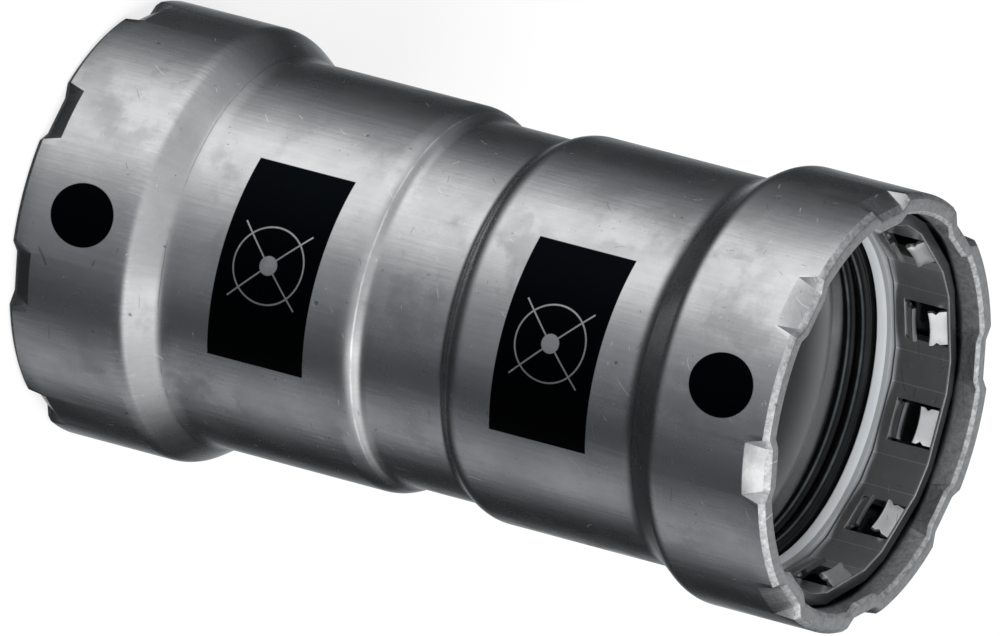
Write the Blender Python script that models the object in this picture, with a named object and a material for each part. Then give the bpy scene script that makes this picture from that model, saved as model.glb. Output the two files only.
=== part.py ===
"""A straight press fit coupling for 42.4 mm steel pipe.

The axis is +Z. The coupling stands on one rim, whose centre is the origin, and both
ends are alike. Angles run from -Y towards +X. A depth is a distance inwards from the
nearer rim. Each end holds, from its rim inwards, a grip ring with lanced tongues, a
separator ring and a rubber seal, and eight stamped tabs in the rim keep them in.
"""

import math

import bmesh
import bpy

# Pipe and the socket that takes it
PIPE_DIAMETER = 0.0424
SOCKET_CLEARANCE = 0.00055
SOCKET_DEPTH = 0.0455
PIPE_GAP = 0.015
WALL = 0.00225

# Waist that stops the pipes
WAIST_STEP = 0.0014
WAIST_SLOPE = math.radians(38.0)
WAIST_SHOULDER_FILLET = 0.004
WAIST_CREASE_FILLET = 0.0019

# Collar that holds the rings
POCKET_STEP = 0.0027
COLLAR_WALL = 0.00255
COLLAR_SLOPE = math.radians(33.0)
COLLAR_CORNER_FILLET = 0.003
COLLAR_FOOT_FILLET = 0.004

# Rim and its stamped tabs
RIM_OUTER_CHAMFER = 0.0006
RIM_OUTER_CHAMFER_DEPTH = 0.0007
RIM_INNER_CHAMFER = 0.00045
TAB_COUNT = 8
TAB_RIM_WIDTH = 0.0053
TAB_BACK_WIDTH = 0.0067
TAB_FLANK_WIDTH = 0.0015
TAB_FLANK_END_SHARE = 0.2
TAB_LENGTH = 0.0030
TAB_OUTER_PRESS = 0.0017
TAB_INNER_PRESS = 0.0012

# Ring stack inside each collar
RING_SETBACK = 0.0003
RING_CLEARANCE = 0.0003
STACK_GAP = 0.0003

# Grip ring
GRIP_LENGTH = 0.0077
GRIP_THICKNESS = 0.0014
WINDOW_COUNT = 11
WINDOW_PANEL_SHARE = 0.685
WINDOW_WIDTH = 0.0052
WINDOW_LENGTH = 0.0059
FRONT_WEB = 0.0004
TONGUE_WIDTH = 0.0045
TONGUE_THICKNESS = 0.0006
TONGUE_ANGLE = math.radians(38.0)
TONGUE_BITE = 0.0001
TONGUE_ROOT = 0.0002
TONGUE_INSET = 0.0001

# Separator ring
SEPARATOR_LENGTH = 0.0020
SEPARATOR_BORE_CLEARANCE = 0.0005
SEPARATOR_TAPER = 0.0003
SEPARATOR_CHAMFER = 0.0002

# Rubber seal
SEAL_LENGTH = 0.0040
SEAL_SEAT = 0.0021
SEAL_SQUEEZE = 0.0006
SEAL_BEAD_DEPTH = 0.0008
SEAL_BEAD_COUNT = 2

# Facets
FINE_BAND = 0.0012
LAND_STEPS = 6
FILLET_STEPS = 3
COLLAR_FILLET_SHARE = 0.45
WAIST_SHOULDER_SHARE = 0.62
WAIST_CREASE_SHARE = 0.30
BEAD_STEPS = 6
BENT_CELL_SHARE = 0.1
SHARP_ANGLE = math.radians(28.0)
PANEL_SHARP_ANGLE = math.radians(5.0)

# Radii and depths that follow from the sizes above
PIPE_RADIUS = PIPE_DIAMETER / 2
SOCKET_RADIUS = PIPE_RADIUS + SOCKET_CLEARANCE
BODY_RADIUS = SOCKET_RADIUS + WALL
WAIST_RADIUS = BODY_RADIUS - WAIST_STEP
WAIST_BORE_RADIUS = SOCKET_RADIUS - WAIST_STEP
POCKET_RADIUS = SOCKET_RADIUS + POCKET_STEP
COLLAR_RADIUS = POCKET_RADIUS + COLLAR_WALL
RING_RADIUS = POCKET_RADIUS - RING_CLEARANCE
HALF_LENGTH = SOCKET_DEPTH + PIPE_GAP / 2
LENGTH = 2 * HALF_LENGTH

GRIP_FRONT = TAB_LENGTH + RING_SETBACK
GRIP_BACK = GRIP_FRONT + GRIP_LENGTH
SEPARATOR_FRONT = GRIP_BACK + STACK_GAP
SEPARATOR_BACK = SEPARATOR_FRONT + SEPARATOR_LENGTH
SEAL_FRONT = SEPARATOR_BACK + STACK_GAP
SEAL_BACK = SEAL_FRONT + SEAL_LENGTH
POCKET_END = SEAL_BACK - SEAL_SEAT


def clear_scene():
    for thing in list(bpy.data.objects):
        bpy.data.objects.remove(thing, do_unlink=True)


def metal(name, colour, roughness, metallic=1.0):
    material = bpy.data.materials.new(name)
    material.use_nodes = True
    shader = material.node_tree.nodes["Principled BSDF"]
    shader.inputs["Base Color"].default_value = (*colour, 1.0)
    shader.inputs["Roughness"].default_value = roughness
    shader.inputs["Metallic"].default_value = metallic
    return material


def place_object(name, bm, material):
    """Turn a bmesh into a smooth shaded object with one material."""
    bmesh.ops.recalc_face_normals(bm, faces=bm.faces)
    mesh = bpy.data.meshes.new(name)
    bm.to_mesh(mesh)
    bm.free()
    mesh.shade_smooth()
    mesh.set_sharp_from_angle(angle=SHARP_ANGLE)
    mesh.materials.append(material)
    thing = bpy.data.objects.new(name, mesh)
    bpy.context.collection.objects.link(thing)
    return thing


# Stations round the axis

def tab_angles(share):
    """Half angles of a tab's facet, and of it with its flanks, a share of the way in from the rim.

    The facet widens and its triangular flanks die out towards the tab's back.
    """
    rim_facet = TAB_RIM_WIDTH / 2 / COLLAR_RADIUS
    back_facet = TAB_BACK_WIDTH / 2 / COLLAR_RADIUS
    rim_edge = rim_facet + TAB_FLANK_WIDTH / COLLAR_RADIUS
    back_edge = back_facet + TAB_FLANK_WIDTH * TAB_FLANK_END_SHARE / COLLAR_RADIUS
    facet = rim_facet + (back_facet - rim_facet) * share
    return facet, rim_edge + (back_edge - rim_edge) * share


def stations(share):
    """Pairs of the angle and the angle from the tab's middle, or None on a land."""
    pitch = 2 * math.pi / TAB_COUNT
    facet, edge = tab_angles(share)
    land = pitch - 2 * edge
    pairs = []
    for tab in range(TAB_COUNT):
        middle = (tab + 0.5) * pitch
        for offset in (-edge, -facet, 0.0, facet, edge):
            on_facet = abs(offset) <= facet
            pairs.append((middle + offset, offset if on_facet else None))
        for step in range(1, LAND_STEPS):
            pairs.append((middle + edge + land * step / LAND_STEPS, None))
    return pairs


ROUND_ANGLES = [angle for angle, offset in stations(1.0)[::2]]


def polar(radius, angle, z):
    return (radius * math.sin(angle), -radius * math.cos(angle), z)


def at_end(upper, depth):
    """Height of a depth below the upper rim, or above the lower one."""
    return LENGTH - depth if upper else depth


# Profiles

def fillet_corner(before, corner, after, radius, share):
    """Points of the arc that rounds a corner, limited to a share of the shorter side."""
    def unit(target):
        dz, dr = target[0] - corner[0], target[1] - corner[1]
        length = math.hypot(dz, dr)
        return dz / length, dr / length, length

    z1, r1, length1 = unit(before)
    z2, r2, length2 = unit(after)
    half = math.acos(max(-1.0, min(1.0, z1 * z2 + r1 * r2))) / 2
    reach = min(radius / math.tan(half), share * min(length1, length2))
    radius = reach * math.tan(half)
    bz, br = z1 + z2, r1 + r2
    scale = radius / math.sin(half) / math.hypot(bz, br)
    centre = corner[0] + bz * scale, corner[1] + br * scale
    start = math.atan2(corner[1] + r1 * reach - centre[1], corner[0] + z1 * reach - centre[0])
    end = math.atan2(corner[1] + r2 * reach - centre[1], corner[0] + z2 * reach - centre[0])
    sweep = (end - start + math.pi) % (2 * math.pi) - math.pi
    turns = [start + sweep * i / FILLET_STEPS for i in range(FILLET_STEPS + 1)]
    return [(centre[0] + radius * math.cos(turn), centre[1] + radius * math.sin(turn)) for turn in turns]


def outer_profile():
    """Outside of one end beyond its tabs, from the collar's corner to the waist."""
    offset = (WALL / math.cos(COLLAR_SLOPE) - COLLAR_WALL) / math.tan(COLLAR_SLOPE)
    collar_end = POCKET_END + offset
    foot = collar_end + (COLLAR_RADIUS - BODY_RADIUS) / math.tan(COLLAR_SLOPE)
    waist_start, waist_end = waist_depths(WALL / math.cos(WAIST_SLOPE) - WALL)
    corners = [
        (TAB_LENGTH, COLLAR_RADIUS),
        (collar_end, COLLAR_RADIUS),
        (foot, BODY_RADIUS),
        (waist_start, BODY_RADIUS),
        (waist_end, WAIST_RADIUS),
        (HALF_LENGTH, WAIST_RADIUS),
    ]
    fillets = [
        (COLLAR_CORNER_FILLET, COLLAR_FILLET_SHARE),
        (COLLAR_FOOT_FILLET, COLLAR_FILLET_SHARE),
        (WAIST_SHOULDER_FILLET, WAIST_SHOULDER_SHARE),
        (WAIST_CREASE_FILLET, WAIST_CREASE_SHARE),
    ]
    points = [(TAB_LENGTH + FINE_BAND, COLLAR_RADIUS)]
    for before, corner, after, (radius, share) in zip(corners, corners[1:], corners[2:], fillets):
        points += fillet_corner(before, corner, after, radius, share)
    return points


def waist_depths(shift):
    """Start and end depths of the slope down to the waist, for a surface set out by shift."""
    start = SOCKET_DEPTH - (SOCKET_CLEARANCE - shift) / math.tan(WAIST_SLOPE)
    return start, start + WAIST_STEP / math.tan(WAIST_SLOPE)


def inner_profile():
    """Inside of one end, from the pocket's end to the waist."""
    foot = POCKET_END + POCKET_STEP / math.tan(COLLAR_SLOPE)
    waist_start, waist_end = waist_depths(0.0)
    return [
        (POCKET_END, POCKET_RADIUS),
        (foot, SOCKET_RADIUS),
        (waist_start, SOCKET_RADIUS),
        (waist_end, WAIST_BORE_RADIUS),
    ]


def rim_profile():
    """Rings of the rim as (depth, radius, press), inside first, where tabs deform them."""
    def press(depth, most):
        return most * (1 - depth / TAB_LENGTH)

    inner_edge = POCKET_RADIUS + RIM_INNER_CHAMFER
    outer_edge = COLLAR_RADIUS - RIM_OUTER_CHAMFER
    inner_press = press(RIM_INNER_CHAMFER, TAB_INNER_PRESS)
    outer_press = press(RIM_OUTER_CHAMFER_DEPTH, TAB_OUTER_PRESS)
    return [
        (TAB_LENGTH, POCKET_RADIUS, 0.0),
        (RIM_INNER_CHAMFER, POCKET_RADIUS, inner_press),
        (0.0, inner_edge, inner_press),
        (0.0, outer_edge, outer_press),
        (RIM_OUTER_CHAMFER_DEPTH, COLLAR_RADIUS, outer_press),
        (TAB_LENGTH, COLLAR_RADIUS, 0.0),
    ]


# Tube with stamped rims

def fine_ring(bm, upper, depth, radius, press):
    """Ring of vertices through every station, pressed flat and inwards at the tabs."""
    ring = []
    z = at_end(upper, depth)
    for angle, offset in stations(depth / TAB_LENGTH):
        reach = radius
        if offset is not None and press > 0:
            reach = min(radius, (radius - press) / math.cos(offset))
        ring.append(bm.verts.new(polar(reach, angle, z)))
    return ring


def round_ring(bm, z, radius):
    return [bm.verts.new(polar(radius, angle, z)) for angle in ROUND_ANGLES]


def radius_of(vertex):
    return math.hypot(vertex.co.x, vertex.co.y)


def join_rings(bm, first, second):
    """Close the band between two rings, which may have twice as many vertices as each other."""
    if len(first) == len(second):
        for i in range(len(first)):
            j = (i + 1) % len(first)
            join_cell(bm, first[i], first[j], second[j], second[i])
        return
    many, few = (first, second) if len(first) > len(second) else (second, first)
    for i in range(len(few)):
        a, b = few[i], few[(i + 1) % len(few)]
        c, d, e = many[2 * i], many[2 * i + 1], many[(2 * i + 2) % len(many)]
        for corners in ((a, c, d), (a, d, b), (b, d, e)):
            bm.faces.new(corners)


def join_cell(bm, a, b, c, d):
    """Quad, or two triangles split along the unpressed surface where a tab's flank bends it."""
    radii = [radius_of(v) for v in (a, b, c, d)]
    bent = abs(radii[0] + radii[2] - radii[1] - radii[3]) > TAB_INNER_PRESS * BENT_CELL_SHARE
    if not bent:
        bm.faces.new((a, b, c, d))
    elif radii[0] + radii[2] > radii[1] + radii[3]:
        bm.faces.new((a, b, c))
        bm.faces.new((a, c, d))
    else:
        bm.faces.new((a, b, d))
        bm.faces.new((b, c, d))


def build_tube(material):
    """Loft the tube's closed section: outside going up, then inside coming down."""
    bm = bmesh.new()
    rim, outside, inside = rim_profile(), outer_profile(), inner_profile()

    def rim_rings(upper, profile):
        return [fine_ring(bm, upper, depth, r, press) for depth, r, press in profile]

    def round_rings(upper, profile):
        return [round_ring(bm, at_end(upper, z), r) for z, r in profile]

    rings = rim_rings(False, rim)
    rings += round_rings(False, outside)
    rings += round_rings(True, outside[::-1])
    rings += rim_rings(True, rim[::-1])
    rings += round_rings(True, inside)
    rings += round_rings(False, inside[::-1])
    for first, second in zip(rings, rings[1:] + rings[:1]):
        join_rings(bm, first, second)
    return place_object("coupling_body", bm, material)


# Turned rings

def turned_ring(name, profile, upper, material):
    """Closed ring turned from a profile of (depth, radius) points."""
    bm = bmesh.new()
    rings = [round_ring(bm, at_end(upper, depth), radius) for depth, radius in profile]
    for first, second in zip(rings, rings[1:] + rings[:1]):
        join_rings(bm, first, second)
    return place_object(name, bm, material)


def separator_profile():
    bore = PIPE_RADIUS + SEPARATOR_BORE_CLEARANCE
    return [
        (SEPARATOR_FRONT, RING_RADIUS),
        (SEPARATOR_BACK, RING_RADIUS),
        (SEPARATOR_BACK, bore + SEPARATOR_CHAMFER),
        (SEPARATOR_BACK - SEPARATOR_CHAMFER, bore),
        (SEPARATOR_FRONT, bore + SEPARATOR_TAPER),
    ]


def seal_profile():
    """Ring with rounded beads on its bore and a bevel that seats on the pocket's end."""
    lip = PIPE_RADIUS - SEAL_SQUEEZE
    valley = lip + SEAL_BEAD_DEPTH
    bevel_gap = RING_CLEARANCE / math.cos(COLLAR_SLOPE)
    bevel_start = POCKET_END + (RING_CLEARANCE - bevel_gap) / math.tan(COLLAR_SLOPE)
    back_radius = RING_RADIUS - (SEAL_BACK - bevel_start) * math.tan(COLLAR_SLOPE)
    profile = [(SEAL_FRONT, RING_RADIUS), (bevel_start, RING_RADIUS), (SEAL_BACK, back_radius)]
    pitch = SEAL_LENGTH / SEAL_BEAD_COUNT
    for bead in range(SEAL_BEAD_COUNT):
        end = SEAL_BACK - bead * pitch
        for step in range(BEAD_STEPS + (bead == SEAL_BEAD_COUNT - 1)):
            turn = math.pi * step / BEAD_STEPS
            depth = end - pitch / 2 + pitch / 2 * math.cos(turn)
            profile.append((depth, valley - SEAL_BEAD_DEPTH * math.sin(turn)))
    return profile


# Grip ring with windows and tongues

def panel_angles():
    """Half angles of the window panels and of the plain panels between them."""
    pitch = 2 * math.pi / WINDOW_COUNT
    window = pitch * WINDOW_PANEL_SHARE / 2
    return window, pitch / 2 - window


def strip(upper):
    """Flat strip bent at the panel edges into a closed ring."""
    bm = bmesh.new()
    window, plain = panel_angles()
    front, back = at_end(upper, GRIP_FRONT), at_end(upper, GRIP_BACK)
    inner_radius = RING_RADIUS - GRIP_THICKNESS
    section = [(front, inner_radius), (front, RING_RADIUS), (back, RING_RADIUS), (back, inner_radius)]
    bends = []
    for panel in range(WINDOW_COUNT):
        middle = math.pi + panel * 2 * math.pi / WINDOW_COUNT
        bends += [middle - window, middle + window]
    rings = [[bm.verts.new(polar(r, angle, z)) for angle in bends] for z, r in section]
    for first, second in zip(rings, rings[1:] + rings[:1]):
        join_rings(bm, first, second)
    return bm


def prism(bm, outline, half_width, angle, upper):
    """Extrude an outline of (depth, distance from the axis) points along the tangent."""
    def corner(depth, distance, side):
        x, y, z = polar(distance, angle, at_end(upper, depth))
        return (x + side * math.cos(angle), y + side * math.sin(angle), z)

    near = [bm.verts.new(corner(d, r, -half_width)) for d, r in outline]
    far = [bm.verts.new(corner(d, r, half_width)) for d, r in outline]
    bm.faces.new(near)
    bm.faces.new(far)
    for i in range(len(outline)):
        j = (i + 1) % len(outline)
        bm.faces.new((near[i], near[j], far[j], far[i]))


def window_outline(inner):
    front = GRIP_FRONT + FRONT_WEB
    back = front + WINDOW_LENGTH
    low, high = inner - GRIP_THICKNESS, inner + 2 * GRIP_THICKNESS
    return [(front, low), (front, high), (back, high), (back, low)]


def tongue_outline(inner, root_depth, way):
    """Tongue bent in from one end of a window; way is 1 from the front end, -1 from the back."""
    start = inner + TONGUE_INSET
    length = (start - (PIPE_RADIUS - TONGUE_BITE)) / math.sin(TONGUE_ANGLE)
    along = length * math.cos(TONGUE_ANGLE)
    tip = start - length * math.sin(TONGUE_ANGLE)
    skew = TONGUE_THICKNESS * math.sin(TONGUE_ANGLE)
    rise = TONGUE_THICKNESS * math.cos(TONGUE_ANGLE)
    outer = start + TONGUE_THICKNESS / math.cos(TONGUE_ANGLE)
    return [
        (root_depth - way * TONGUE_ROOT, start),
        (root_depth, start),
        (root_depth + way * along, tip),
        (root_depth + way * (along + skew), tip + rise),
        (root_depth, outer),
        (root_depth - way * TONGUE_ROOT, outer),
    ]


def apply_boolean(target, cutter_bm, operation):
    """Cut or join a bmesh tool with the target, and leave the result as plain mesh."""
    bmesh.ops.recalc_face_normals(cutter_bm, faces=cutter_bm.faces)
    mesh = bpy.data.meshes.new("tool")
    cutter_bm.to_mesh(mesh)
    cutter_bm.free()
    tool = bpy.data.objects.new("tool", mesh)
    bpy.context.collection.objects.link(tool)
    modifier = target.modifiers.new(operation, "BOOLEAN")
    modifier.operation = operation
    modifier.solver = "EXACT"
    modifier.object = tool
    evaluated = target.evaluated_get(bpy.context.evaluated_depsgraph_get())
    result = bpy.data.meshes.new_from_object(evaluated)
    target.modifiers.remove(modifier)
    target.data = result
    bpy.data.objects.remove(tool, do_unlink=True)


def build_grip_ring(name, upper, material):
    """Strip with a window in each wide panel and two tongues lanced from every window."""
    ring = place_object(name, strip(upper), material)
    inner = (RING_RADIUS - GRIP_THICKNESS) * math.cos(panel_angles()[0])
    windows, tongues = bmesh.new(), bmesh.new()
    front_root = GRIP_FRONT + FRONT_WEB
    back_root = front_root + WINDOW_LENGTH
    for panel in range(WINDOW_COUNT):
        angle = math.pi + panel * 2 * math.pi / WINDOW_COUNT
        prism(windows, window_outline(inner), WINDOW_WIDTH / 2, angle, upper)
        for root, way in ((front_root, 1), (back_root, -1)):
            prism(tongues, tongue_outline(inner, root, way), TONGUE_WIDTH / 2, angle, upper)
    apply_boolean(ring, windows, "DIFFERENCE")
    apply_boolean(ring, tongues, "UNION")
    ring.data.shade_smooth()
    ring.data.set_sharp_from_angle(angle=PANEL_SHARP_ANGLE)
    return ring


def main():
    clear_scene()
    plated = metal("plated_steel", (0.50, 0.51, 0.52), 0.38)
    spring = metal("spring_steel", (0.20, 0.21, 0.22), 0.30)
    bright = metal("bright_steel", (0.72, 0.72, 0.71), 0.25)
    rubber = metal("seal_rubber", (0.012, 0.012, 0.013), 0.28, metallic=0.0)
    build_tube(plated)
    for end, upper in (("upper", True), ("lower", False)):
        build_grip_ring(end + "_grip_ring", upper, spring)
        turned_ring(end + "_separator_ring", separator_profile(), upper, bright)
        turned_ring(end + "_seal", seal_profile(), upper, rubber)


main()
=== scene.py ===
# %% [markdown]
# A press fit coupling joins two steel pipes. It is one formed steel tube with a wide
# collar at each end, and each collar holds a grip ring, a separator ring and a rubber seal.
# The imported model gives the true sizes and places. This lesson dresses it: every piece is
# made again with finer edges, and gets a finish that is built from shader nodes.

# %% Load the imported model
import math

import bmesh
import bpy
from mathutils import Matrix, Vector


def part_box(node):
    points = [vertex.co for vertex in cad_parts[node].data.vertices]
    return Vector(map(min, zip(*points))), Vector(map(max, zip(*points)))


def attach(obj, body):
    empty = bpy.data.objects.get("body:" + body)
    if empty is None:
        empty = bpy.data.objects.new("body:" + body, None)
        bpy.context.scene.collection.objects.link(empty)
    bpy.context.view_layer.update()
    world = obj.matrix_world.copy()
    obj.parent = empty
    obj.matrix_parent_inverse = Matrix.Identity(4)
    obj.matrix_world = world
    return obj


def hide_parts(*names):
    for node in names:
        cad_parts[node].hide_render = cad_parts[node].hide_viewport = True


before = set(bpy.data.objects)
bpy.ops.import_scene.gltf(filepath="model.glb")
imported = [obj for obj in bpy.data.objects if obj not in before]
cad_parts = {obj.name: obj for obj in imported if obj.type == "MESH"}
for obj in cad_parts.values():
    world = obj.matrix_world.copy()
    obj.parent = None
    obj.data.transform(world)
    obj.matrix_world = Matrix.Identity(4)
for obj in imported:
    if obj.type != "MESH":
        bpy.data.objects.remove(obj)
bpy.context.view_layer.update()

MM = 0.001
print("packed nodes:", sorted(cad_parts))

# %% [markdown]
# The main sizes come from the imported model, so that the dressed pieces always fit it.
# The walls, slopes and steps repeat the design's own values, in millimetres.
# A depth is a distance inwards from the nearer rim, and both ends are alike.

# %% Sizes of the tube
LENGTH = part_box("coupling_body")[1].z
COLLAR_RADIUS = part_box("coupling_body")[1].x
PIPE_RADIUS = 21.2 * MM
SOCKET_CLEARANCE = 0.55 * MM
SOCKET_RADIUS = PIPE_RADIUS + SOCKET_CLEARANCE
SOCKET_DEPTH = 45.5 * MM
WALL = 2.25 * MM
BODY_RADIUS = SOCKET_RADIUS + WALL
WAIST_STEP = 1.4 * MM
WAIST_SLOPE = math.radians(38.0)
COLLAR_WALL = 2.55 * MM
COLLAR_SLOPE = math.radians(33.0)
POCKET_RADIUS = COLLAR_RADIUS - COLLAR_WALL
RING_CLEARANCE = 0.3 * MM
RING_RADIUS = POCKET_RADIUS - RING_CLEARANCE
HALF_LENGTH = LENGTH / 2
print("tube is", round(LENGTH / MM, 2), "mm long, collar radius", round(COLLAR_RADIUS / MM, 2))

# %% [markdown]
# All the pieces are round, so a point is given by its distance from the axis, its angle
# and its height. Angles start at the printed side, which faces -Y, and grow towards +X.

# %% Points round the axis
def polar(radius, angle, z):
    return Vector((radius * math.sin(angle), -radius * math.cos(angle), z))


def at_end(upper, depth):
    """Height of a depth below the upper rim, or above the lower one."""
    return LENGTH - depth if upper else depth


def depths_of(node):
    """Depths of the front and the back of a ring at the upper end."""
    low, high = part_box(node)
    return LENGTH - high.z, LENGTH - low.z


def new_object(name, bm):
    mesh = bpy.data.meshes.new(name)
    bm.to_mesh(mesh)
    bm.free()
    piece = bpy.data.objects.new(name, mesh)
    bpy.context.scene.collection.objects.link(piece)
    return piece


# %% [markdown]
# A pressed tube has no sharp corner where its wall bends. The profile is drawn as a few
# straight runs, and each corner gets an arc. A Bevel modifier could round it as well, but
# an arc in the profile keeps its true radius and costs only a few rows.

# %% Round the corners of a profile
ARC_STEPS = 10


def arc_corner(before, corner, after, radius, share):
    """Points of the arc that rounds a corner, limited to a share of each side."""
    here = Vector(corner)
    towards = Vector(before) - here
    away = Vector(after) - here
    limit = share * min(towards.length, away.length)
    towards.normalize()
    away.normalize()
    half = towards.angle(away) / 2
    reach = min(radius / math.tan(half), limit)
    radius = reach * math.tan(half)
    centre = here + (towards + away).normalized() * (radius / math.sin(half))
    start = (here + towards * reach - centre).normalized()
    end = (here + away * reach - centre).normalized()
    return [centre + start.slerp(end, step / ARC_STEPS) * radius for step in range(ARC_STEPS + 1)]


def rounded(corners):
    """Profile through (depth, radius, fillet, share) corners, with the inner corners rounded."""
    points = [Vector(corners[0][:2])]
    for before, corner, after in zip(corners, corners[1:], corners[2:]):
        points += arc_corner(before[:2], corner[:2], after[:2], *corner[2:])
    return points + [Vector(corners[-1][:2])]


# %% [markdown]
# The tabs are what holds the rings in. A press stamps eight places of each rim inwards:
# a flat facet leans in, and a small triangular flank joins it to the round wall at each
# side. The facet is a plane, so its distance from the axis grows as 1 / cos(angle).

# %% Sizes of the stamped rim
TAB_COUNT = 8
TAB_PITCH = 2 * math.pi / TAB_COUNT
TAB_RIM_WIDTH = 5.3 * MM
TAB_BACK_WIDTH = 6.7 * MM
TAB_FLANK_WIDTH = 1.5 * MM
TAB_FLANK_END_SHARE = 0.2
TAB_LENGTH = 3.0 * MM
TAB_OUTER_PRESS = 1.7 * MM
TAB_INNER_PRESS = 1.2 * MM
RIM_CHAMFER = 0.6 * MM
RIM_CHAMFER_DEPTH = 0.7 * MM
RIM_INNER_CHAMFER = 0.45 * MM
LAND_STEPS = 9
FACET_STEPS = 6


def tab_stations(share):
    """Angles from a tab's middle across one sector, each with True where it lies on the facet."""
    rim_facet = TAB_RIM_WIDTH / 2 / COLLAR_RADIUS
    back_facet = TAB_BACK_WIDTH / 2 / COLLAR_RADIUS
    rim_edge = rim_facet + TAB_FLANK_WIDTH / COLLAR_RADIUS
    back_edge = back_facet + TAB_FLANK_WIDTH * TAB_FLANK_END_SHARE / COLLAR_RADIUS
    facet = rim_facet + (back_facet - rim_facet) * share
    edge = rim_edge + (back_edge - rim_edge) * share
    land = TAB_PITCH / 2 - edge
    left = [(-TAB_PITCH / 2 + land * i / LAND_STEPS, False) for i in range(LAND_STEPS + 1)]
    middle = [(facet * (2 * i / FACET_STEPS - 1), True) for i in range(FACET_STEPS + 1)]
    right = [(-angle, False) for angle, on_facet in reversed(left)]
    return left + middle + right


def pressed(depth, most):
    """How far a tab leans in at a depth."""
    return most * max(0.0, 1 - depth / TAB_LENGTH)


# %% [markdown]
# The tube's closed section runs up the outside and back down the inside. One sector with
# one tab at each end is enough, because the whole tube is eight turned copies of it.

# %% Rows of the tube's section
COLLAR_CORNER = (3.0 * MM, 0.45)
COLLAR_FOOT = (4.0 * MM, 0.45)
WAIST_SHOULDER = (4.0 * MM, 0.62)
WAIST_CREASE = (1.9 * MM, 0.30)
SOCKET_CORNER = (1.2 * MM, 0.45)
SEAL_SEAT = 2.1 * MM
SEAL_FRONT, SEAL_BACK = depths_of("upper_seal")
POCKET_END = SEAL_BACK - SEAL_SEAT


def waist_depths(shift):
    start = SOCKET_DEPTH - (SOCKET_CLEARANCE - shift) / math.tan(WAIST_SLOPE)
    return start, start + WAIST_STEP / math.tan(WAIST_SLOPE)


def with_rim(rim_radius, chamfer_depth, press, corners):
    """(depth, radius, press) from the rim, with its chamfer, to the middle of the tube."""
    lean_in = pressed(chamfer_depth, press)
    rim = [(0.0, rim_radius, lean_in), (chamfer_depth, corners[0][1], lean_in)]
    return rim + [(depth, radius, 0.0) for depth, radius in rounded(corners)]


def outer_rows():
    lean = (WALL / math.cos(COLLAR_SLOPE) - COLLAR_WALL) / math.tan(COLLAR_SLOPE)
    collar_end = POCKET_END + lean
    foot = collar_end + (COLLAR_RADIUS - BODY_RADIUS) / math.tan(COLLAR_SLOPE)
    waist_start, waist_end = waist_depths(WALL / math.cos(WAIST_SLOPE) - WALL)
    waist_radius = BODY_RADIUS - WAIST_STEP
    return with_rim(COLLAR_RADIUS - RIM_CHAMFER, RIM_CHAMFER_DEPTH, TAB_OUTER_PRESS, [
        (TAB_LENGTH, COLLAR_RADIUS),
        (collar_end, COLLAR_RADIUS, *COLLAR_CORNER),
        (foot, BODY_RADIUS, *COLLAR_FOOT),
        (waist_start, BODY_RADIUS, *WAIST_SHOULDER),
        (waist_end, waist_radius, *WAIST_CREASE),
        (HALF_LENGTH, waist_radius),
    ])


def inner_rows():
    foot = POCKET_END + (POCKET_RADIUS - SOCKET_RADIUS) / math.tan(COLLAR_SLOPE)
    waist_start, waist_end = waist_depths(0.0)
    waist_radius = SOCKET_RADIUS - WAIST_STEP
    return with_rim(POCKET_RADIUS + RIM_INNER_CHAMFER, RIM_INNER_CHAMFER, TAB_INNER_PRESS, [
        (TAB_LENGTH, POCKET_RADIUS),
        (POCKET_END, POCKET_RADIUS, *SOCKET_CORNER),
        (foot, SOCKET_RADIUS, *SOCKET_CORNER),
        (waist_start, SOCKET_RADIUS, *SOCKET_CORNER),
        (waist_end, waist_radius, *SOCKET_CORNER),
        (HALF_LENGTH, waist_radius),
    ])


print("rows of one end:", len(outer_rows()), "outside and", len(inner_rows()), "inside")

# %% [markdown]
# Each cell between two rows is a four-sided face, except where a flank bends it. There
# the cell is split through its unpressed corners, which makes the flank a clean triangle.
# Face attributes mark the stamped facets, the cut rim and the inside, whose finish differs.

# %% Sector of the tube
BENT_LIMIT = 0.1 * MM


def sector_row(bm, upper, row):
    depth, radius, press = row
    points = []
    for offset, on_facet in tab_stations(min(1.0, depth / TAB_LENGTH)):
        reach = radius
        if on_facet and press > 0:
            reach = min(radius, (radius - press) / math.cos(offset))
        points.append(bm.verts.new(polar(reach, TAB_PITCH / 2 + offset, at_end(upper, depth))))
    return points


def sector_cell(bm, corners):
    radii = [math.hypot(v.co.x, v.co.y) for v in corners]
    lean = radii[0] + radii[2] - radii[1] - radii[3]
    if abs(lean) < BENT_LIMIT:
        return [bm.faces.new(corners)]
    a, b, c, d = corners if lean > 0 else corners[1:] + corners[:1]
    return [bm.faces.new((a, b, c)), bm.faces.new((a, c, d))]


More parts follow.
